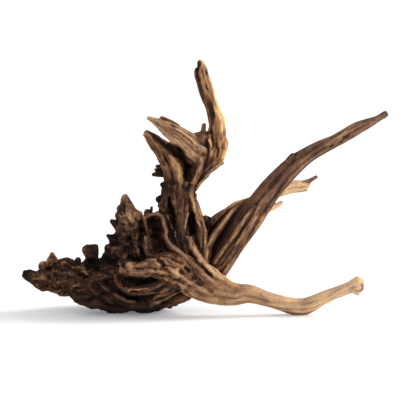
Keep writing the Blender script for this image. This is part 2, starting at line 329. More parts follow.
# The gap between the two splintered prongs, which reaches right through
prongGap = limb(0, (-57, -9, 188.6, 5.2, 14), (-45, -9, 179, 2.4, 14), (-39, -8, 174.4, 1.5, 14),
    (-35.4, -7, 171.6, 0.9, 6), twist=0.2)

# What is carved or raised on the side that the camera sees, drawn over the camera's 416 pixel
# frame. A stroke is (width in pixels, rise in millimetres, added tone, added warmth, and the spots
# of its path, across and down); a rise below 0 cuts in.
frontStrokes = [
    # the trunk
    (3, -3.4, -0.14, 0, (169.6, 199), (170.4, 207), (172.6, 213), (175, 216.6)),
    (2, -2, -0.15, 0, (173, 208), (175.4, 216)),
    (1.4, 0.9, 0.12, 0.05, (167, 197), (167.8, 207), (170.6, 215), (175, 220.4)),
    (1.6, -1.2, -0.09, 0, (163.6, 201), (164.6, 210), (165, 216)),
    (1.8, -2, -0.15, 0, (164, 213.6), (165.6, 216.6)),
    (2, -2.4, -0.2, 0, (171.6, 230.6), (172.8, 234)),
    (1.4, 0.8, 0.12, 0.05, (176, 228), (174.6, 234), (173.6, 240)),
    (1.6, -1, -0.09, 0, (180.6, 232), (181, 244), (184, 252)),
    (5.4, -4, -0.14, 0, (191, 213), (190.6, 222), (192, 230)),
    (3.4, -3, -0.16, 0, (191, 214), (191.6, 224), (193.6, 234), (196.4, 243), (198.4, 251)),
    (1.6, 1.1, 0.14, 0.05, (188.8, 211), (185.8, 219), (184.2, 227), (186.4, 232), (189, 236.4)),
    (1.6, 1.1, 0.14, 0.05, (187, 190.6), (191.4, 198), (193.4, 205), (195, 213)),
    (1.3, 0.9, 0.12, 0.05, (196, 214), (199.6, 224), (201.2, 235), (201.4, 249)),
    (1.8, 1.1, 0.16, 0.08, (196.4, 204), (200.4, 213), (203.6, 223), (205.2, 234), (204.8, 246)),
    (1.3, -1.2, -0.14, 0, (199, 214), (202.4, 225), (203.4, 238), (203, 252)),
    (1.8, -2, -0.15, 0, (209.6, 217.6), (209.8, 219.6)),
    (2, -1.6, -0.18, 0, (206.6, 224), (206.4, 232)),
    (1.4, -0.8, -0.08, 0, (176, 192), (177.6, 204), (178.6, 216)),
    (1.4, -0.8, -0.08, 0, (184, 192), (185, 204), (184, 214)),
    # the broken strand that runs into the lower arm
    (3, 1.4, 0.1, 0.05, (190.6, 240), (192, 247), (196, 253.6), (201.4, 260.4), (207.4, 268), (215, 275),
        (223, 279.4)),
    (1.4, -1.8, -0.15, 0, (187, 239), (187.4, 248)),
    (1.2, -1, -0.14, 0, (191.4, 242), (193.4, 248)),
    (2.2, -2, -0.14, 0, (187.6, 250.6), (196, 261), (205.6, 270.8), (213, 278)),
    (2.6, 0.8, 0.06, 0.05, (172, 246.6), (185, 257), (197, 268), (208, 278), (217, 284)),
    (4, -1.6, -0.07, 0, (193, 276), (200, 282), (206, 285.4)),
    # the upper arm
    (2.2, 0.2, 0.07, 0.1, (302, 166), (310, 159), (320, 153.6), (330, 147.6)),
    (1.5, -1.4, -0.16, 0.1, (328, 148.6), (334, 145), (342, 139.8), (352, 132.4)),
    (2, 0.8, 0.1, 0.05, (326, 146), (333, 141), (341, 135.6), (349, 129.6)),
    (1.8, 0.4, 0.08, 0, (338, 146), (348, 141), (359, 133)),
    (3, -0.3, -0.03, 0, (293, 150), (310, 144), (324, 138)),
    (2.6, 0.6, 0.06, 0, (268, 192), (258, 209), (249.6, 229), (241, 245)),
    (1.8, 0.4, 0.06, 0.1, (270, 208), (257, 227), (247, 243), (238, 256)),
    (2.6, -0.6, -0.02, 0, (263, 208), (254, 226), (245, 243)),
    (1.8, -0.4, -0.12, -0.1, (361, 281.6), (362.4, 286), (361.6, 291)),
    # the rear branch
    (1, -0.4, -0.1, 0, (300, 181.4), (308, 182.4), (314, 180.6), (319, 177)),
    (1.6, -0.4, -0.06, 0.3, (284, 190), (294, 187.6), (304, 186.4)),
    (1.6, 0, -0.18, -0.2, (306, 191.6), (310, 191), (312, 188)),
    # the fan
    (2.6, -2.4, -0.15, 0, (207.6, 236.4), (212, 229), (218.4, 222.6), (226, 214.4), (233, 206.8)),
    (5, -1.6, -0.03, 0, (209, 259), (213, 248.4), (219.4, 240), (228, 228), (237, 214), (246, 204)),
    (2.2, 1, 0.1, 0.05, (205.8, 259), (208.2, 246), (212.4, 236.4), (219, 228), (226.4, 218), (234.4, 208)),
    (2, 0.9, 0.08, 0.05, (213, 266), (220, 255.4), (226, 247), (231.4, 240), (238.6, 229), (246, 217),
        (250.6, 209)),
    (2.4, -1, -0.05, 0, (217, 268), (225, 261), (231, 250.6), (236.6, 240), (243.6, 228)),
    (2.2, 0.9, 0.08, 0.06, (231, 250), (239.6, 240), (247, 228), (254, 215), (262, 199)),
    (1.3, -0.6, -0.06, 0, (228, 265), (236, 252), (246, 240), (256, 225)),
    (2.4, 0.4, 0.03, 0.05, (225, 272), (232, 259), (240, 247)),
    # the dark hollow of the head, and the pale strands beside it
    (6.4, -8, -0.4, -0.1, (169, 145), (175, 149), (181, 154), (185, 160)),
    (7.4, -8.5, -0.2, -0.1, (186, 158), (190, 165), (191, 172), (189, 179)),
    (2.6, -5, -0.3, -0.1, (184, 166), (185.6, 174), (186, 181)),
    (2.4, 1.3, 0.16, 0.1, (221, 163), (209, 171), (200.6, 181.6), (196.4, 190), (195.4, 199)),
    (1.5, -1.6, -0.15, 0, (214, 165), (205, 173), (198, 182)),
    (2.2, 1, 0.12, 0.05, (200, 153), (201.4, 163), (198.6, 172), (194, 181)),
    # the upright branch
    (3.2, -0.4, -0.34, -0.3, (196.6, 73), (200, 88), (204.6, 106), (208, 122)),
    (4.4, -0.8, -0.44, -0.4, (206.6, 96), (210, 106), (212, 116), (212, 125)),
    (1.2, -0.9, -0.18, -0.2, (201, 68), (204, 79), (208.6, 92), (212.4, 105), (214.6, 117)),
    (3.6, -0.5, -0.3, -0.3, (196.4, 70), (199, 64)),
    (2.2, -0.6, -0.34, -0.2, (205, 68), (208, 76)),
    (3, 0.3, 0.17, 0.25, (209, 79), (214, 94), (219, 109), (222.6, 121), (221, 134)),
    # the knuckle
    (2.4, -2, -0.22, -0.1, (211.6, 124), (211, 132), (213, 141), (212, 150)),
    (2.6, -1.8, -0.2, -0.1, (206, 138), (208.6, 147), (208.4, 158), (204, 168)),
    (2.4, -1.6, -0.2, -0.1, (216, 143), (218.6, 151), (216, 160)),
    (1.4, -0.9, -0.15, 0, (219, 136), (222, 142)),
    (1.6, -1.1, -0.14, 0, (222.6, 150), (220, 158)),
    (2.4, 0.7, 0.17, 0.4, (209, 140), (211.4, 146)),
    (3, 0.5, 0.12, 0.5, (222.6, 138), (224, 147)),
    # the splintered prongs
    (1.2, -0.9, -0.1, 0, (160, 121), (172, 128), (186, 137), (198, 149)),
    (1.1, -0.7, -0.09, 0, (154, 121.6), (166, 130), (180, 141), (192, 154)),
    (1.1, -0.7, -0.09, 0, (170, 124.6), (184, 131.6), (198, 140)),
    (2.6, 0.7, 0.1, 0.1, (176, 127), (188, 134), (197, 141)),
    (2.6, 0, -0.14, 0, (148.6, 118.6), (153, 121)),
    (2.4, 0, -0.16, -0.1, (160, 117.4), (170, 121)),
    (3.6, 1.2, 0.22, 0.4, (170, 156), (176, 160), (179.6, 169), (181, 180), (180, 189)),
    (4.2, -1, -0.34, -0.3, (149, 132), (158, 139.6), (166, 147), (172, 154)),
    (1.6, -1.6, -0.18, 0, (163, 152), (166, 160), (171, 168), (173.6, 178)),
    (1.4, -0.8, -0.11, 0, (147, 140), (156, 150), (163, 162), (168, 174)),
    # the arch-shaped hollow and its rims
    (3, 0.5, 0.1, 0.1, (139, 219), (145, 217.4), (151, 215.4)),
    (1.3, -1.2, -0.15, 0, (142.6, 212), (145, 216), (150, 215.6)),
    (8, -4.4, 0, 0, (153, 223), (156, 235), (158, 246)),
    (4, -3, -0.14, -0.1, (161, 241), (164, 247)),
    (1.3, -0.8, -0.1, 0, (153.6, 222), (154, 236)),
    (1.3, -0.8, -0.1, 0, (159.4, 222), (160.6, 238)),
    (1.6, 0.9, 0.03, -0.2, (145.3, 218), (151.6, 214.6), (158.2, 214), (161.9, 217.4), (164, 224.8),
        (166, 230), (165.8, 236.4), (169, 242.2), (171.5, 246.4), (176.4, 251.8), (183, 256.3),
        (189.7, 262)),
    (1.5, 0.8, -0.02, -0.2, (144, 221), (147.8, 229), (149.4, 236.4), (146, 241.4), (146.2, 248),
        (149.1, 253.8), (155, 256.6)),
    (1.6, -2, -0.19, 0, (148, 231), (149, 233.6)),
    (2.6, -2.4, -0.15, 0, (166, 218), (168.4, 226), (170.6, 234), (173.9, 240.5), (177, 246)),
    # the front root
    (2, -1.6, -0.12, 0.2, (123, 265), (124.6, 267)),
    (3, -3.4, -0.2, 0, (158.6, 261), (161, 262), (163, 265)),
    (2.8, -1.4, -0.1, 0, (137, 269.6), (142, 269.8)),
    (3, -2.4, -0.14, 0, (185.6, 268), (188.4, 271)),
    (1.8, 0.8, 0.1, 0.1, (164, 266.4), (170, 269), (178, 274.6), (188, 281), (200.5, 287.6), (209, 290)),
    (1.4, -1, -0.14, 0, (169, 265), (176, 269)),
    (1.6, -0.9, -0.11, 0, (168, 276.6), (178, 280.6), (188, 286.4)),
    (2.4, 0.6, 0.08, 0, (133, 266.6), (146, 264), (158, 258.6)),
    (1.5, -0.8, -0.09, 0, (134, 273), (146, 272), (158, 274.6), (170, 279)),
    (1.4, -0.7, -0.09, 0, (146, 267), (158, 269.6), (172, 273)),
    (2, -1.4, -0.2, 0, (168, 257), (176, 261), (184, 264.6)),
    # the hook root and the roots beside it
    (3.4, -4, -0.22, 0, (125, 279), (133, 280.6), (142, 279.8), (150, 277.6)),
    (2, 0.4, 0.07, 0.3, (117.6, 270), (118.8, 278)),
    (1.6, 0.9, 0.14, -0.1, (125, 287), (129, 290), (136, 289.6), (150, 288.4)),
    (1.6, 0.7, 0.16, 0.1, (119.6, 281), (121.4, 284.4)),
    (1.4, -0.8, -0.08, 0, (128, 285.6), (140, 285), (150, 286.4)),
    (2.4, -2.6, -0.2, 0, (151, 291.4), (158, 289.8), (166, 285.6)),
    (2, -2.6, -0.22, 0, (156, 300.6), (166, 296.6), (175, 291.8), (181, 289)),
    (2.4, 0.8, 0.1, 0, (153, 297.6), (162, 292.8), (171, 287)),
    (1.8, -1.6, -0.15, 0, (128, 293.4), (134, 291.2), (142, 291.8), (145, 294.4)),
    (2, -1.4, -0.12, 0, (136, 298), (143, 298)),
    # the belly of the burl
    (3.2, 0.9, 0.05, 0.05, (79, 295), (84, 289.6), (89, 285), (92, 279.8)),
    (3, -3, -0.2, 0, (81, 299.6), (88, 300.2), (94, 298), (100, 298.2), (105, 300.8), (109, 305.4)),
    (2.6, 1.3, 0.06, 0, (84, 304), (92, 304.6), (100, 303.6), (105, 306)),
    (3.6, -3, -0.16, 0, (104, 279), (112, 285.6), (120, 291.2), (128, 296), (137, 299)),
    (2.6, 1.4, 0.06, 0, (97, 280.6), (105, 288), (115, 294.6), (126, 300.4), (138, 303)),
    (2, -1.2, -0.07, 0, (93, 284), (101, 291.6), (111, 298), (121, 303), (132, 305.6)),
    (2.4, 1, 0.04, 0, (89, 288), (98, 294.6), (108, 300.4), (116, 306)),
    (1.6, -1.8, -0.15, 0, (134, 308.6), (142, 309.4), (149, 309)),
    # the snout
    (2.4, -2, -0.2, 0, (47, 268.6), (54, 268.4), (62, 270.2), (71, 270.6)),
    (2.8, -3.4, -0.36, 0, (48, 269), (50.5, 270.6)),
    (2.2, -2.2, -0.29, 0, (53, 267.6), (56, 268)),
    (2, -2.6, -0.32, 0, (69.5, 268.4), (71.8, 271.8)),
    (2.6, -3.8, -0.36, 0, (77.6, 274.6), (83, 276), (88, 277.8)),
    (1.2, 1.1, 0.2, 0.1, (81, 273), (86, 273.8), (91, 277)),
    (2.2, -2.2, -0.23, 0, (83.5, 280.6), (84.6, 283.8), (88, 283)),
    (1.8, -2.6, -0.28, 0, (45.8, 284.8), (47.2, 285)),
    (1.6, -1.8, -0.17, 0, (56.6, 278.6), (58, 279)),
    (1.5, 0.6, 0.2, 0.1, (34, 278.6), (38, 278.4)),
    (3.4, 0.8, 0.14, 0.3, (42, 277), (45, 278.4)),
    (2.4, 0.4, 0.14, 0.1, (42.4, 262), (42, 268)),
    (2, -1.2, -0.14, 0, (51, 286.6), (58, 288.2), (66, 287.6)),
    (2, -1.1, -0.14, 0, (71, 288.4), (80, 287.2), (86, 285.6)),
    (2.6, 1, 0.17, 0.1, (73, 267.6), (79, 268.8)),
    (2.4, 0.8, 0.09, 0, (56, 263), (62, 263.6), (68, 262.8)),
    (2, -1.4, -0.17, 0, (64.5, 264), (66, 267)),
    # the shelf and the knob
    (4.2, -4, -0.22, 0, (91, 261), (95, 266), (97, 270)),
    (4, -3.4, -0.2, 0, (101, 258.6), (110, 261), (118, 262)),
    (2, 1.2, 0.12, 0, (99.6, 261), (103, 268)),
    (2.6, -2.4, -0.18, 0, (98, 272), (106, 272.6), (113, 275)),
    (2, 0.7, 0.08, 0, (94, 278.6), (100, 279.6), (106, 277.6)),
    (2, -1, -0.1, 0, (87, 251), (89, 260)),
    (1.6, 0.5, 0.06, 0, (93, 249), (94, 258)),
    # the cone and its lobes
    (1.6, -1.3, -0.12, 0, (124.8, 203), (124.6, 210), (125, 216.4)),
    (1.8, -0.8, -0.08, 0, (120.8, 203), (120, 212), (123, 217)),
    (2.2, 0.7, 0.12, 0, (127.4, 199), (129, 207), (130.4, 214)),
    (1.4, 0.6, 0.08, 0, (117.6, 213), (122, 216.6), (127, 215.8), (131, 218.4), (137, 216.6)),
    (2, -0.8, -0.08, 0, (118, 223), (124, 225.4), (130, 223.4)),
    (2, -0.5, -0.06, 0, (120, 231), (127, 231.8), (133, 229.4)),
    (1.8, 0.8, 0.06, 0, (113, 236), (121, 238), (128, 237)),
    (3, -1.8, -0.12, 0, (111, 242.4), (117, 244), (123, 242.6)),
    (1.6, 1, 0.1, 0, (109, 246.6), (115, 249), (121, 247.4)),
    (4, -2.2, -0.1, 0, (114, 253), (121, 253.6), (127, 252)),
    (1.6, -1, -0.08, 0, (126, 239), (128, 247), (126.6, 256)),
    (1.8, 1.7, 0.18, 0, (134, 243), (137.6, 249.6), (139, 255), (143, 257)),
    (1.8, 1.5, 0.12, 0, (141, 229.6), (145.6, 236), (146.6, 244), (146, 250)),
    (2.6, -4, -0.2, 0, (141.6, 248.6), (142.6, 253)),
    (3.6, -5, -0.2, 0, (129.6, 257.6), (134, 259.8), (138, 261)),
    (2.2, -1.4, -0.2, 0, (141, 221.6), (144.6, 225)),
    (1.6, -1.3, -0.09, 0, (135, 222), (134, 230), (135.6, 238)),
    (1.8, -1.2, -0.08, 0, (140, 232), (138.6, 240), (140, 246)),
]

# The same for the far side, with widths in millimetres and paths in (x, z) of the tables
backStrokes = [
    (5, -5, -0.16, 0, (-24, 62), (-22, 76), (-23, 90)),
    (3.4, -4, -0.16, 0, (-36, 84), (-37, 98), (-35, 112)),
    (4, -4.4, -0.18, 0, (-20, 128), (-22, 142), (-25, 156)),
    (2, -2, -0.14, 0, (-8, 120), (-6, 136), (2, 150)),
    (1.6, 1.2, 0.12, 0.1, (-19, 64), (-17, 80), (-18, 96), (-19, 110)),
    (2, -1.8, -0.16, 0, (12, 160), (9, 176), (9, 192), (5, 206)),
    (1.6, -1.4, -0.16, 0, (4, 200), (0, 218), (-3, 236)),
    (3, -2.4, -0.2, -0.2, (6, 186), (2, 202), (-1, 216)),
    (2.4, -2, -0.1, 0, (24, 56), (36, 76), (52, 98), (70, 120)),
    (2, -1.6, -0.1, 0, (40, 70), (54, 92), (74, 116)),
    (2, -1.4, -0.1, 0, (84, 136), (104, 152), (124, 164)),
    (4.4, -4, -0.16, 0, (-60, 60), (-66, 70), (-66, 82)),
    (5, -4, -0.16, 0, (-104, 30), (-116, 34), (-126, 34)),
    (3, -3, -0.18, 0, (-84, 24), (-92, 18), (-104, 16)),
    (4, -4, -0.16, 0, (-60, 16), (-50, 24), (-42, 36)),
    (3, -3, -0.16, 0, (-140, 42), (-148, 38)),
    (1.8, 1.2, 0.12, 0.1, (-112, 40), (-100, 46), (-90, 56), (-86, 70)),
    (1.8, 1.2, 0.1, 0.1, (-70, 34), (-60, 42), (-56, 54), (-58, 66)),
    (2, -1.6, -0.12, 0, (30, 24), (44, 22), (58, 18), (72, 13)),
    (3.4, -4, -0.2, 0, (-80, 92), (-79, 100)),
]

# Soft washes of colour: centre, radius, added tone, added warmth
washes = [
    ((-184, -11, 40), 9, -0.7, -0.3),      # black end of the snout
    ((-150, -14, 42), 28, 0.1, 0.1),
    ((-72, -4, 96), 11, 0.21, 0.28),          # orange foot of the cone's tip
    ((-86, 0, 102), 10, -0.14, -0.1),
    ((-78, -8, 80), 22, -0.05, -0.05),
    ((-92, -10, 60), 18, -0.08, -0.05),
    ((14, 18, 88), 20, -0.3, 0),            # dark root of the rear branch
    ((20, -36, 32), 20, 0.08, 0.1),          # where the front roots meet the arm
    ((-110, -4, 46), 16, -0.12, -0.1),
    ((-40, 4, 124), 16, -0.22, -0.1),        # dark left side of the trunk
    ((18, -4, 160), 13, 0.1, 0.35),           # golden right side of the knuckle
    ((15, 0, 195), 16, 0.08, 0.1),
    ((-28, -6, 146), 10, 0.16, 0.25),        # pale patch under the broken prong
    ((-22, -2, 160), 11, -0.3, -0.1),        # between the prongs
    ((180, 10, 198), 8, -0.1, -0.1),
    ((160, -27, 28), 7, -0.5, -0.1),          # darker end of the lower arm
]

# Where each piece parts from the rest: its limb, the place along the limb's stations, and the
# reach, half widths and sideways shift of the box that holds it
forks = {
    "pointed_prong": ("pointedProng", 2.55, 60, (13.4, 14), 3.2),
    "upright_branch": ("uprightBranch", 3.0, 90, (24, 24), 0),
    "trunk_head": ("trunk", 5.1, 130, (47, 40), 6.6),
    "rear_branch": ("rearBranch", 4.05, 110, (14.5, 14), 3),
    "upper_arm": ("upperArm", 3.6, 200, (23, 17.5), -4),
    "lower_arm": ("lowerArm", 1.4, 150, (30, 24), 0),
    "snout_root": ("burlCore", 6.6, 90, (50, 50), 0),
}

# Which wood each piece is of
slots = {
    "root_crown": "burl_wood", "snout_root": "burl_wood", "trunk_head": "trunk_wood",
    "pointed_prong": "trunk_wood", "upper_arm": "arm_wood", "lower_arm": "arm_wood",
    "upright_branch": "pale_wood", "rear_branch": "pale_wood",
}

limbs = {**crownLimbs, **headLimbs, **longLimbs}
centre = np.array((*bodySettings["centre"], 0.0))


def report(stage):
    print("driftwood:", stage)


# Growing the limbs

def splineRow(rows, i, t):
    # a row of the path, on a smooth curve through the stations
    p0, p1, p2, p3 = rows[max(i - 1, 0)], rows[i], rows[i + 1], rows[min(i + 2, len(rows) - 1)]
    return 0.5 * (2 * p1 + (p2 - p0) * t + (2 * p0 - 5 * p1 + 4 * p2 - p3) * t * t
        + (3 * p1 - p0 - 3 * p2 + p3) * t ** 3)


def limbRows(limb, step):
    # the rows of a limb, how far along it each lies, and its directions along, wide and deep
    stations = np.array(limb["path"], float)
    rows = []
    for i in range(len(stations) - 1):
        steps = max(1, round(float(np.linalg.norm(stations[i + 1, :3] - stations[i, :3])) / step))
        rows += [splineRow(stations, i, k / steps) for k in range(steps)]
    rows = np.array(rows + [stations[-1]])
    travelled = np.concatenate(([0], np.cumsum(np.linalg.norm(np.diff(rows[:, :3], axis=0), axis=1))))
    along = np.empty((len(rows), 3))
    along[1:-1] = rows[2:, :3] - rows[:-2, :3]
    along[0], along[-1] = rows[1, :3] - rows[0, :3], rows[-1, :3] - rows[-2, :3]
    along /= np.linalg.norm(along, axis=1)[:, None]
    deep = np.array((0, 1, 0)) - along * along[:, 1:2]
    deep /= np.linalg.norm(deep, axis=1)[:, None]
    return rows, travelled, along, np.cross(deep, along), deep


def growLimb(bm, limb, seed):
    rows, travelled, along, wide, deep = limbRows(limb, bodySettings["ringStep"])
    sides, uneven = bodySettings["ringSides"], bodySettings["fluteUneven"]
    angles = np.arange(sides) * math.tau / sides
    rings = []

    def addRing(spots):
        rings.append([bm.verts.new(spot) for spot in (spots - centre) / 1000])

    for i, row in enumerate(rows):
        wander = bodySettings["fluteWander"] * noise.noise((travelled[i] * 0.03, seed, 0))
        bent = angles + (limb["twist"] * i / len(rows) + wander)
        bent = bent + uneven[0] * np.sin(bent) + uneven[1] * np.sin(2 * bent + 1)
        size = 1 - limb["groove"] * (0.65 - np.abs(np.cos(limb["flutes"] * bent / 2)) ** 0.85)
        ring = row[:3] + wide[i] * (np.cos(angles) * row[3] * size)[:, None] \
            + deep[i] * (np.sin(angles) * row[4] * size)[:, None]
        # both ends are rounded with a smaller ring a little beyond
        cap = row[:3] + (ring - row[:3]) * 0.68 + (-along[i] if i == 0 else along[i]) * row[3] * 0.32
        if i == 0:
            addRing(cap)
        addRing(ring)
    addRing(cap)
    for lower, upper in zip(rings, rings[1:]):
        for k in range(sides):
            after = (k + 1) % sides
            bm.faces.new((lower[k], lower[after], upper[after], upper[k]))
    bm.faces.new(reversed(rings[0]))
    bm.faces.new(rings[-1])


def linked(name, mesh):
    obj = bpy.data.objects.new(name, mesh)
    bpy.context.scene.collection.objects.link(obj)
    return obj


def selectOnly(obj):
    bpy.ops.object.select_all(action="DESELECT")
    obj.select_set(True)
    bpy.context.view_layer.objects.active = obj


def applyModifier(obj, kind, **values):
    selectOnly(obj)
    modifier = obj.modifiers.new(kind.lower(), kind)
    for key, value in values.items():
        setattr(modifier, key, value)
    bpy.ops.object.modifier_apply(modifier=modifier.name)


def growTogether(obj, rounds):
    applyModifier(obj, "REMESH", mode="VOXEL", voxel_size=bodySettings["voxel"] / 1000)
    if rounds:
        applyModifier(obj, "SMOOTH", factor=0.5, iterations=rounds)


def growAll(name, drawn, rounds):
    bm = bmesh.new()
    for seed, limb in enumerate(drawn):
        growLimb(bm, limb, seed)
    mesh = bpy.data.meshes.new(name)
    bm.to_mesh(mesh)
    bm.free()
    obj = linked(name, mesh)
    growTogether(obj, rounds)
    return obj


def cutWith(obj, cutter, operation):
    applyModifier(obj, "BOOLEAN", object=cutter, operation=operation, solver="MANIFOLD")
    bpy.data.objects.remove(cutter)


# Reading and moving the skin

def readAll(items, key, width, kind=float):
    flat = np.empty(len(items) * width, kind)
    items.foreach_get(key, flat)
    return flat.reshape(-1, width)


def readSkin(obj):
    # points in the millimetres of the tables, normals and edges
    mesh = obj.data
    return (readAll(mesh.vertices, "co", 3) * 1000 + centre, readAll(mesh.vertex_normals, "vector", 3),
        readAll(mesh.edges, "vertices", 2, np.int64))


def setSkin(obj, points):
    obj.data.vertices.foreach_set("co", ((points - centre) / 1000).ravel())
    obj.data.update()


def softened(values, edges, rounds):
    # every value moves halfway to the mean of its neighbours, some rounds over
    count = len(values)
    near = np.bincount(edges.ravel(), minlength=count).clip(1)
    out = values.reshape(count, -1).astype(float)
    a, b = edges[:, 0], edges[:, 1]
    for _ in range(rounds):
        for k in range(out.shape[1]):
            column = out[:, k]
            total = np.bincount(a, column[b], count) + np.bincount(b, column[a], count)
            out[:, k] = 0.5 * column + 0.5 * total / near
    return out.reshape(values.shape)


def ramp(values, start, end):
    return np.clip((values - start) / (end - start), 0, 1)


def noiseAt(points, size, octaves=1):
    scaled = (points / np.array(size)).tolist()
    if octaves == 1:
        return np.array([noise.noise(p) for p in scaled])
    return np.array([noise.fractal(p, 1.0, 2.0, octaves) for p in scaled])


def swirlAt(points, size, reach):
    return np.array([noise.noise_vector(p) for p in (points / size).tolist()]) * reach


def swell(values, steep):
    # rounded swellings with sharp valleys between them, about 0 on the whole
    return np.minimum(np.abs(values) * steep, 1) ** 0.7 - 0.72


def followLimbs(points):
    # for every point: how far along its limb it lies and its place across it; the limb's tone,
    # warmth, knobbiness and calm; the limb's thickness there
    best = np.full(len(points), 1e9)
    flow = np.zeros((len(points), 3))
    paint = np.zeros((len(points), 4))
    thick = np.full(len(points), 10.0)
    for seed, limb in enumerate(limbs.values()):
        rows, travelled, along, wide, deep = limbRows(limb, 2.0)
        reach = rows[:, 3:].max() * 1.3 + 3
        low, high = rows[:, :3].min(axis=0) - reach, rows[:, :3].max(axis=0) + reach
        inside = np.flatnonzero(((points > low) & (points < high)).all(axis=1))
        for part in np.array_split(inside, max(1, len(inside) * len(rows) // 3000000)):     # saves memory
            if not len(part):
                continue
            away = points[part][:, None] - rows[None, :, :3]
            a, w, d = (np.einsum("pri,ri->pr", away, way) for way in (along, wide, deep))
            size = np.sqrt((w / rows[:, 3]) ** 2 + (d / rows[:, 4]) ** 2 + (a / 5) ** 2)
            pick = size.argmin(axis=1)
            n = np.arange(len(part))
            closer = size[n, pick] < best[part]
            mine, row, n = part[closer], pick[closer], n[closer]
            best[mine] = size[n, row]
            # every limb lies in another stretch of the patterns
            flow[mine] = np.stack((travelled[row] + a[n, row] + seed * 61.7, w[n, row], d[n, row]), axis=1)
            thick[mine] = rows[row, 3]
            share = travelled[row] / travelled[-1]
            for k, key in enumerate(("tone", "warm", "knobby", "calm")):
                start, end = np.broadcast_to(limb[key], 2)
                paint[mine, k] = start + (end - start) * share
    return flow, paint, thick


# The camera, which the front strokes are drawn over

view = {"target": (3.2, -4.4, 104.5), "distance": 1500, "rise": 6.0, "frame": 416}
tilt = math.radians(view["rise"])
viewOut = np.array((0, -math.cos(tilt), math.sin(tilt)))
viewUp = np.array((0, math.sin(tilt), math.cos(tilt)))


def onFrame(points):
    # where the camera sees a point of the tables, in pixels of its frame
    away = points - centre - np.array(view["target"]) - viewOut * view["distance"]
    depth = -away @ viewOut
    middle = view["frame"] / 2
    return np.stack((middle + away[:, 0] / depth * view["distance"],
        middle - away @ viewUp / depth * view["distance"]), axis=1)


def seenFrom(obj, points, normals, edges, out):
    # 1 where nothing of the wood stands between a point and the viewer
    tree = bvhtree.BVHTree.FromObject(obj, bpy.context.evaluated_depsgraph_get())
    facing = normals @ out
    seen = np.zeros(len(points))
    start = (points - centre) / 1000 + normals * 0.0004     # just off the skin, in metres
    way = Vector(out)
    for i in np.flatnonzero(facing > 0.02):
        if tree.ray_cast(Vector(start[i]), way, 0.5)[0] is None:
            seen[i] = 1
    return softened(seen, edges, 2) * ramp(facing, 0.02, 0.3)


def strokeShare(spots, width, path):
    # 1 on a stroke's line and 0 from its width on; the stroke thins out at its two ends
    path = np.array(path, float)
    lengths = np.linalg.norm(np.diff(path, axis=0), axis=1)
    starts = np.concatenate(([0], np.cumsum(lengths)))
    away, along = np.full(len(spots), 1e9), np.zeros(len(spots))
    for a, b, start, length in zip(path, path[1:], starts, lengths):
        line = b - a
        share = np.clip((spots - a) @ line / (line @ line), 0, 1)
        here = np.linalg.norm(spots - a - share[:, None] * line, axis=1)
        closer = here < away
        away[closer], along[closer] = here[closer], (start + share * length)[closer]
    ends = np.minimum(along, starts[-1] - along) + width
    full = np.clip(ends / (3 * width), 0, 1) if starts[-1] > 3 * width else 1
    return np.clip(1 - (away / (width * (0.4 + 0.6 * full))) ** 2, 0, 1) ** 1.5 * full


# The whole piece

def gnarl(obj):
    # folds of the burl and lumps of the old wood, as in the solid, and the hollows
    points, normals, edges = readSkin(obj)
    _, paint, thick = followLimbs(points)
    burl = softened(paint[:, 2], edges, 16)
    old = ramp(-points[:, 0], -30, 30) * ramp(-points[:, 2], -200, -130)     # on the left, low down
    swirl = swirlAt(points, *bodySettings["foldSwirl"])
    fold = 1 - 2.6 * np.abs(noiseAt(points + swirl, bodySettings["foldSize"]))
    lump = noiseAt(points, bodySettings["lumpSize"], 2)
    rise = fold * bodySettings["foldDepth"] * burl
    rise += lump * bodySettings["lumpDepth"] * np.maximum(old, bodySettings["lumpElsewhere"])
    rise -= 0.25 * bodySettings["foldDepth"] * burl
    rise *= softened(np.clip(thick / 9, 0.3, 1), edges, 4)      # less on limbs under 9 mm
    moved = points + normals * rise[:, None]
    worn = np.zeros(len(points))
    for start, end, wideStart, wideEnd, depth, nearY in hollows.values():
        line = np.array(end) - np.array(start)
        flat = points[:, (0, 2)] - np.array(start)
        share = np.clip(flat @ line / (line @ line), 0, 1)
        away = np.linalg.norm(flat - share[:, None] * line, axis=1)
        width = 1.3 * (wideStart + (wideEnd - wideStart) * share)
        here = depth * np.clip(1 - (away / width) ** 2, 0, 1) ** 2
        worn = np.maximum(worn, here * (np.abs(points[:, 1] - nearY) <= 14))
    moved[:, 1] += worn * (normals[:, 1] < -0.1)
    setSkin(obj, moved)


wood = growAll("driftwood", limbs.values(), 2)
report("limbs grown together")
gnarl(wood)
cutWith(wood, growAll("gap", [prongGap], 0), "DIFFERENCE")
bpy.ops.object.select_all(action="DESELECT")
bpy.ops.mesh.primitive_cube_add(size=1, location=(0, 0, -0.1))
ground = bpy.context.object
ground.scale = (0.8, 0.8, 0.2)
bpy.ops.object.transform_apply(location=True, rotation=True, scale=True)
cutWith(wood, ground, "DIFFERENCE")
growTogether(wood, 1)
report("folds and lumps done, %d points" % len(wood.data.vertices))

carving = {
    "toneRounds": 22,           # how far the tones of neighbouring limbs run together
    "sharpening": 0.7,          # how much of what the growing rounded off is put back
    "fray": ((6, 0.8), (2.2, 0.45)),     # sizes and reaches of what frays the strokes
    "fineStroke": 2.4,          # strokes that are narrower are broken here and there
    "breaks": (7, 7, 7),
    "swirl": (18, 1.6),         # size and reach of the swirls in the grain
    "stretches": (45, 14, 14),   # size of the stretches with much or little grain
    "bellyWorn": 0.75,          # share of the knobs that is worn off the burl's belly
    "slender": 9,               # half width of a limb, below which its relief is shallower
}

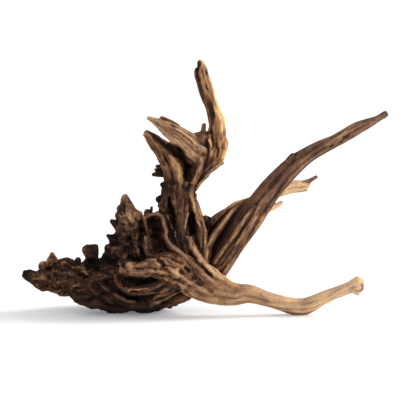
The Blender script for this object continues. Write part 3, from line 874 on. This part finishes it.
# Each kind of relief: its size along and across the grain, or in x, y and z, its depth and what it
# adds to the tone
reliefs = {
    "strands": ((55, 7.5, 7.5), 0.15, 0.03),
    "fibres": ((30, 2.6, 2.6), 0.18, 0.04),
    "splinters": ((12, 1.3, 1.3), 0.27, 0),
    "sheets": ((24, 18, 15), 1.5, 0.03),
    "lumps": ((12, 11, 9), 0.6, 0.05),
    "scoops": ((11, 10, 9), 3.6, 0.2),
    "bumps": ((4.2, 4.2, 3.4), 0.8, 0.05),
    "pits": ((7, 7, 6), -1.7, -0.24),
}


def carve(obj):
    # strokes, ribs, grain and pits; gives the colours back
    points, normals, edges = readSkin(obj)
    flow, paint, thick = followLimbs(points)
    paint = softened(paint, edges, carving["toneRounds"])
    slender = softened(np.clip(thick / carving["slender"], 0.25, 1), edges, 4)
    for spot, radius, tone, warm in washes:
        share = np.clip(1.4 - np.linalg.norm(points - np.array(spot), axis=1) / radius, 0, 1)
        paint += share[:, None] * np.array((tone, warm, 0, 0))
    report("limbs followed")
    points = points + carving["sharpening"] * (points - softened(points, edges, 10))
    burl, calm = paint[:, 2], paint[:, 3]
    seen = seenFrom(obj, points, normals, edges, viewOut)
    back = seenFrom(obj, points, normals, edges, np.array((0.0, 1.0, 0.0)))
    report("front and back seen")
    spots = onFrame(points)
    wander = sum(swirlAt(points, *fray) for fray in carving["fray"])[:, (0, 2)]
    broken = 0.3 + 0.7 * ramp(noiseAt(points + 20, carving["breaks"]), -0.4, 0.05)
    rise, push = np.zeros(len(points)), np.zeros(len(points))
    strokes = [(spots + wander, seen, stroke) for stroke in frontStrokes]
    strokes += [(points[:, (0, 2)] + wander, back, stroke) for stroke in backStrokes]
    for places, visible, (width, height, tone, warm, *path) in strokes:
        share = strokeShare(places, width, path) * visible
        if width < carving["fineStroke"]:
            share *= broken
        if height < 0:
            push = np.maximum(push, -height * share)
        else:
            rise += height * share
        paint += share[:, None] * np.array((tone, warm, 0, 0))

    swirl = swirlAt(points, *carving["swirl"])
    grained, turned = flow + swirl, points + 4 * swirl
    size = {kind: values[0] for kind, values in reliefs.items()}
    cells = ((points + swirl) / size["scoops"]).tolist()
    relief = {
        "strands": swell(noiseAt(grained, size["strands"]), 2.6),
        "fibres": swell(noiseAt(grained, size["fibres"]), 2.4),
        "splinters": noiseAt(grained, size["splinters"]),
        "sheets": 1 - 2.3 * np.abs(noiseAt(turned, size["sheets"])),
        "lumps": swell(noiseAt(turned + 50, size["lumps"]), 2.6),
        "scoops": np.array([noise.voronoi(p)[0][0] for p in cells]) - 0.4,
        "bumps": noiseAt(points + swirl, size["bumps"], 2),
        "pits": ramp(noiseAt(points + 90, size["pits"]), 0.42, 0.6),
    }

    def blend(column, *kinds):
        return sum(reliefs[kind][column] * relief[kind] for kind in kinds)

    straightKinds, knobbyKinds = ("strands", "fibres"), ("sheets", "lumps", "scoops", "bumps", "pits")
    strong = 0.45 + 0.55 * ramp(noiseAt(flow + 40, carving["stretches"]), -0.25, 0.35)
    strong *= 1 - 0.7 * calm
    # the belly, by its place in the camera's frame
    belly = ramp(spots[:, 1], 272, 288) * ramp(spots[:, 0], 74, 92) * ramp(-spots[:, 0], -176, -150)
    belly *= seen
    old = 0.35 + 0.65 * ramp(-points[:, 0], -30, 10)
    rough = burl * (1 - carving["bellyWorn"] * belly)
    rise += blend(1, *straightKinds) * strong * (1 - 0.8 * burl) * slender
    rise += blend(1, "splinters") * (0.5 + 0.5 * old)
    rise += blend(1, *knobbyKinds) * (0.06 * old + 0.94 * rough) * slender
    away = viewOut * np.sign(seen - back + 0.001)[:, None]
    moved = points + normals * rise[:, None] - away * push[:, None]
    moved[:, 2] = np.maximum(moved[:, 2], 0)
    setSkin(obj, moved)
    paint[:, 0] += blend(2, *straightKinds) * (1 - burl) * (1 - 0.7 * calm)
    paint[:, 0] += blend(2, *knobbyKinds) * rough
    return paint


def shutIn(obj, points, normals):
    # share of wood around a place just outside every point, from a blurred grid of the body
    pitch = 2.0
    low = points.min(axis=0) - 20
    size = np.ceil((points.max(axis=0) + 20 - low) / pitch).astype(int)
    solid = np.zeros(size, np.float32)
    tree = bvhtree.BVHTree.FromObject(obj, bpy.context.evaluated_depsgraph_get())
    way = Vector((0, 1, 0))
    for i in range(size[0]):
        for k in range(size[2]):
            x, z = low[0] + (i + 0.5) * pitch, low[2] + (k + 0.5) * pitch
            spot = Vector(((x - centre[0]) / 1000, (low[1] - centre[1]) / 1000, z / 1000))
            inside = False
            for _ in range(24):     # the skin is never crossed more often
                hit = tree.ray_cast(spot, way)
                if hit[0] is None:
                    break
                j = int((hit[0].y * 1000 + centre[1] - low[1]) / pitch)
                if hit[1].y < 0:
                    enter, inside = j, True
                elif inside:
                    solid[i, enter:j + 1, k] = 1
                    inside = False
                spot = hit[0] + way * 0.00002
    solid[:, :, :int(-low[2] / pitch)] = 1     # the ground shuts in too
    kernel = np.exp(-0.5 * (np.arange(-4, 5) / 2.2) ** 2)
    kernel /= kernel.sum()
    for axis in range(3):
        blurred = np.zeros_like(solid)
        for step, weight in zip(range(-4, 5), kernel):
            blurred += weight * np.roll(solid, step, axis=axis)
        solid = blurred
    places = np.clip(((points + normals * 5 - low) / pitch).astype(int), 0, size - 1)
    return solid[places[:, 0], places[:, 1], places[:, 2]]


def hollowness(obj):
    # how far a point lies between its surroundings, in small and in large, and how shut in it is
    points, normals, edges = readSkin(obj)
    small = softened(points, edges, 5)
    middle = softened(small, edges, 30)
    inSmall = np.einsum("ij,ij->i", small - points, normals)
    inMiddle = np.einsum("ij,ij->i", middle - points, normals)
    closed = shutIn(obj, points, normals)
    return points, np.clip(0.27 * inSmall, -0.09, 0.1) + np.clip(0.1 * inMiddle, -0.12, 0.13) \
        + 0.45 * np.clip(closed - 0.25, -0.08, 0.4)


paint = carve(wood)
report("carved")
oldPoints, depth = hollowness(wood)
depth *= 1 - 0.2 * paint[:, 2]
report("hollows measured")


# Parting at the forks

def forkBlock(fork, gap):
    # a box that starts at the fork, or a little before it, and holds the limb beyond
    name, start, reach, halves, shift = fork
    stations = np.array(limbs[name]["path"], float)
    interval, share = divmod(start, 1)
    here = splineRow(stations, int(interval), share)[:3]
    along = Vector(stations[-1, :3] - here).normalized()
    deep = (Vector((0, 1, 0)) - along * along.y).normalized()
    wide = deep.cross(along)
    bpy.ops.object.select_all(action="DESELECT")
    bpy.ops.mesh.primitive_cube_add(size=1)
    block = bpy.context.object
    reach, shift = reach / 1000, shift / 1000
    turn = Matrix((wide, deep, along)).transposed().to_4x4()
    block.data.transform(Matrix.Translation(Vector((here - centre) / 1000)) @ turn
        @ Matrix.Translation((shift, 0, (reach - gap) / 2))
        @ Matrix.Diagonal((2 * halves[0] / 1000, 2 * halves[1] / 1000, reach + gap, 1)))
    return block


def sharpenCuts(piece, planes):
    # the rims of the cut faces stay sharp, so that no shading shows where the pieces part
    mesh = piece.data
    normals, middles = readAll(mesh.polygons, "normal", 3), readAll(mesh.polygons, "center", 3)
    cut = np.zeros(len(normals), bool)
    for spot, way in planes:
        cut |= (np.abs(normals @ way) > 0.9995) & (np.abs((middles - spot) @ way) < 0.0001)
    corners = readAll(mesh.polygons, "loop_total", 1, np.int32)[:, 0]
    edgeOf = readAll(mesh.loops, "edge_index", 1, np.int32)[:, 0]
    count = np.bincount(edgeOf[np.repeat(cut, corners)], minlength=len(mesh.edges))
    sharp = readAll(mesh.edges, "use_edge_sharp", 1, bool)[:, 0]
    mesh.edges.foreach_set("use_edge_sharp", sharp | (count == 1))


pieces, planes = {}, []
for name, fork in forks.items():
    branch = linked("wood_" + name, wood.data.copy())
    block = forkBlock(fork, 0)
    planes += [(np.array(face.center), np.array(face.normal)) for face in block.data.polygons]
    cutWith(branch, block, "INTERSECT")
    cutWith(wood, forkBlock(fork, 0.00004), "DIFFERENCE")
    pieces[name] = branch
wood.name = "wood_root_crown"
pieces["root_crown"] = wood
for piece in pieces.values():
    triangles = sum(len(face.vertices) - 2 for face in piece.data.polygons)
    report("%s: %d triangles" % (piece.name, triangles))
    if triangles > bodySettings["triangles"]:
        applyModifier(piece, "DECIMATE", ratio=bodySettings["triangles"] / triangles)

tree = kdtree.KDTree(len(oldPoints))
for i, point in enumerate(oldPoints.tolist()):
    tree.insert(point, i)
tree.balance()
for piece in pieces.values():
    points = readSkin(piece)[0]
    nearest = np.array([tree.find(p)[1] for p in points.tolist()])
    layers = {key: paint[nearest, k] for k, key in enumerate(("tone", "warm", "burl", "calm"))}
    layers["hollow"] = depth[nearest]
    for key, values in layers.items():
        piece.data.attributes.new(key, "FLOAT", "POINT").data.foreach_set("value", values)
    layer = piece.data.attributes.new("flow", "FLOAT_VECTOR", "POINT")
    layer.data.foreach_set("vector", followLimbs(points)[0].ravel())
    selectOnly(piece)
    bpy.ops.object.shade_smooth_by_angle(angle=math.radians(bodySettings["smoothAngle"]))
    sharpenCuts(piece, planes)
report("painted")


# Wood

woodSettings = {
    "broad": 0.15,          # how much each pattern changes the tone
    "grain": 0.55,
    "hair": 0.44,
    "stain": 0.45,
    "speck": 0.66,
    "cracks": 0.1,
    "rough": 0.75,
    "gloss": 0.08,
    "bump": 0.7,
    "bumpDepth": 0.0016,    # metres
    # (tone, red, green, blue) of grey brown and of golden brown wood
    "grey": [(0.0, 0.013, 0.0074, 0.0062), (0.15, 0.022, 0.0118, 0.0094), (0.32, 0.046, 0.0218, 0.0156),
        (0.5, 0.148, 0.080, 0.054), (0.7, 0.345, 0.210, 0.140), (0.95, 0.655, 0.440, 0.290)],
    "gold": [(0.0, 0.014, 0.0066, 0.0042), (0.15, 0.026, 0.0110, 0.0060), (0.32, 0.078, 0.029, 0.0110),
        (0.5, 0.235, 0.096, 0.034), (0.7, 0.500, 0.260, 0.102), (0.95, 0.830, 0.560, 0.250)],
}


def makeWood(name, settings):
    material = bpy.data.materials.new(name)
    material.use_nodes = True
    nodes, links = material.node_tree.nodes, material.node_tree.links
    surface = nodes["Principled BSDF"]

    def put(socket, value):
        if isinstance(value, bpy.types.NodeSocket):
            links.new(value, socket)
        else:
            socket.default_value = value

    def sums(operation, first, *others, clamp=False):
        for other in others:
            node = nodes.new("ShaderNodeMath")
            node.operation = operation
            put(node.inputs[0], first)
            put(node.inputs[1], other)
            first = node.outputs[0]
        node.use_clamp = clamp
        return first

    plus, minus, times = (partial(sums, kind) for kind in ("ADD", "SUBTRACT", "MULTIPLY"))

    def attribute(key, output="Fac"):
        node = nodes.new("ShaderNodeAttribute")
        node.attribute_name = key
        return node.outputs[output]

    def scaled(vector, size):
        node = nodes.new("ShaderNodeVectorMath")
        node.operation = "DIVIDE"
        put(node.inputs[0], vector)
        node.inputs[1].default_value = size
        return node.outputs[0]

    def pattern(vector, size, detail, roughness=0.55):
        node = nodes.new("ShaderNodeTexNoise")
        put(node.inputs["Vector"], scaled(vector, size))
        for key, value in {"Scale": 1, "Detail": detail, "Roughness": roughness}.items():
            node.inputs[key].default_value = value
        return node.outputs[0]

    def lines(value, narrow):
        # thin lines where a pattern passes its middle
        return minus(1.0, times(sums("ABSOLUTE", minus(value, 0.5), 0.0), narrow), clamp=True)

    def shades(value, stops):
        node = nodes.new("ShaderNodeValToRGB")
        while len(node.color_ramp.elements) < len(stops):
            node.color_ramp.elements.new(0.5)
        for element, (place, *colour) in zip(node.color_ramp.elements, stops):
            element.position = place
            element.color = (*colour, 1)
        put(node.inputs[0], value)
        return node.outputs[0]

    flow = attribute("flow", "Vector")
    place = scaled(nodes.new("ShaderNodeTexCoord").outputs["Object"], (0.001, 0.001, 0.001))
    burl, hollow = attribute("burl"), attribute("hollow")
    straight = minus(1.0, times(burl, 0.75))
    lively = times(straight, minus(1.0, times(attribute("calm"), 0.7)))
    grained = times(plus(lively, straight), 0.5)
    broad = pattern(flow, (60, 5, 5), 2)
    fine = pattern(flow, (22, 0.95, 0.95), 3, 0.6)
    hair = pattern(flow, (10, 0.42, 0.42), 2)
    stain = pattern(place, (17, 17, 17), 3, 0.6)
    speck = pattern(place, (2.4, 2.4, 2.4), 3, 0.65)
    longCracks = lines(pattern(flow, (26, 2.2, 2.2), 2), 22.0)
    shortCracks = lines(pattern(flow, (16, 1.3, 1.3), 1), 12.0)
    patches = times(minus(pattern(flow, (26, 9, 9), 2), 0.42), 6.0, clamp=True)
    crack = times(plus(longCracks, times(shortCracks, 0.6), clamp=True), patches)

    tone = attribute("tone")
    for value, key, mask in ((broad, "broad", lively), (fine, "grain", grained), (hair, "hair", straight),
            (stain, "stain", 1.0), (speck, "speck", burl)):
        tone = plus(tone, times(minus(value, 0.5), settings[key], mask))
    tone = minus(tone, hollow, times(crack, settings["cracks"], lively))
    warm = plus(attribute("warm"), times(minus(stain, 0.5), 1.3), clamp=True)

    mix = nodes.new("ShaderNodeMix")
    mix.data_type = "RGBA"
    put(mix.inputs[0], warm)
    put(mix.inputs[6], shades(tone, settings["grey"]))
    put(mix.inputs[7], shades(tone, settings["gold"]))
    put(surface.inputs["Base Color"], mix.outputs[2])

    rough = plus(settings["rough"], times(minus(fine, 0.5), 0.3))
    put(surface.inputs["Roughness"], plus(rough, times(hollow, 0.25), clamp=True))
    height = times(plus(fine, times(hair, 0.5), times(crack, -0.6)), lively)
    bump = nodes.new("ShaderNodeBump")
    bump.inputs["Strength"].default_value = settings["bump"]
    bump.inputs["Distance"].default_value = settings["bumpDepth"]
    put(bump.inputs["Height"], plus(height, times(speck, 2.6, burl)))
    put(surface.inputs["Normal"], bump.outputs[0])
    surface.inputs["Specular IOR Level"].default_value = settings["gloss"]
    return material


materials = {slot: makeWood("driftwood_" + slot, woodSettings) for slot in sorted(set(slots.values()))}
for name, piece in pieces.items():
    piece.data.materials.clear()
    piece.data.materials.append(materials[slots[name]])
    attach(piece, "root")
    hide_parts(name)
report("wood given")


# Floor, light and camera

stage = {
    "floor": 12.0,
    "floorColour": (0.9, 0.9, 0.9),
    "floorGlow": 0.16,
    "world": 0.62,              # the world's light; the camera sees it at the strength of the backdrop
    "backdrop": 1.0,
    "keyAzimuth": 12,
    "keyRise": 24,
    "keySpread": 30,
    "keyPower": 4.4,
    "fillPlace": (-0.5, -1.5, 1.1),
    "fillSize": 1.4,
    "fillPower": 8,
}

bpy.ops.object.select_all(action="DESELECT")
bpy.ops.mesh.primitive_plane_add(size=stage["floor"], location=(0, 0, 0))
floor = bpy.context.object
floor.name = "floor"
floorMaterial = bpy.data.materials.new("pale_floor")
floorMaterial.use_nodes = True
floorSurface = floorMaterial.node_tree.nodes["Principled BSDF"]
for key, value in {"Base Color": (*stage["floorColour"], 1), "Roughness": 0.5,
        "Emission Color": (1, 1, 1, 1), "Emission Strength": stage["floorGlow"]}.items():
    floorSurface.inputs[key].default_value = value
floor.data.materials.append(floorMaterial)

fillPlace = Vector(stage["fillPlace"])
bpy.ops.object.light_add(type="AREA", location=fillPlace)
fill = bpy.context.object
fill.name = "fill_light"
fill.data.size = stage["fillSize"]
fill.data.energy = stage["fillPower"]
fill.rotation_euler = (Vector((0, 0, 0.1)) - fillPlace).to_track_quat("-Z", "Y").to_euler()

azimuth, keyRise = math.radians(stage["keyAzimuth"]), math.radians(stage["keyRise"])
keyWay = Vector((math.cos(keyRise) * math.cos(azimuth), math.cos(keyRise) * math.sin(azimuth),
    math.sin(keyRise)))
bpy.ops.object.light_add(type="SUN", location=(1, 0.5, 0.6))
key = bpy.context.object
key.name = "key_light"
key.data.energy = stage["keyPower"]
key.data.angle = math.radians(stage["keySpread"])
key.rotation_euler = keyWay.to_track_quat("Z", "Y").to_euler()

world = bpy.data.worlds.new("studio")
world.use_nodes = True
worldNodes, worldLinks = world.node_tree.nodes, world.node_tree.links
background = worldNodes["Background"]
background.inputs["Color"].default_value = (1, 1, 1, 1)
seenBy = worldNodes.new("ShaderNodeLightPath")
strength = worldNodes.new("ShaderNodeMapRange")
strength.inputs["To Min"].default_value = stage["world"]
strength.inputs["To Max"].default_value = stage["backdrop"]
worldLinks.new(seenBy.outputs["Is Camera Ray"], strength.inputs["Value"])
worldLinks.new(strength.outputs[0], background.inputs["Strength"])
bpy.context.scene.world = world
bpy.context.scene.view_settings.view_transform = "Standard"

target = Vector(view["target"]) / 1000
place = target + Vector(viewOut) * view["distance"] / 1000
bpy.ops.object.camera_add(location=place)
camera = bpy.context.object
camera.name = "camera"
camera.data.sensor_width = 36
camera.data.lens = camera.data.sensor_width * view["distance"] / view["frame"]
camera.rotation_euler = (target - place).to_track_quat("-Z", "Y").to_euler()
bpy.context.scene.camera = camera
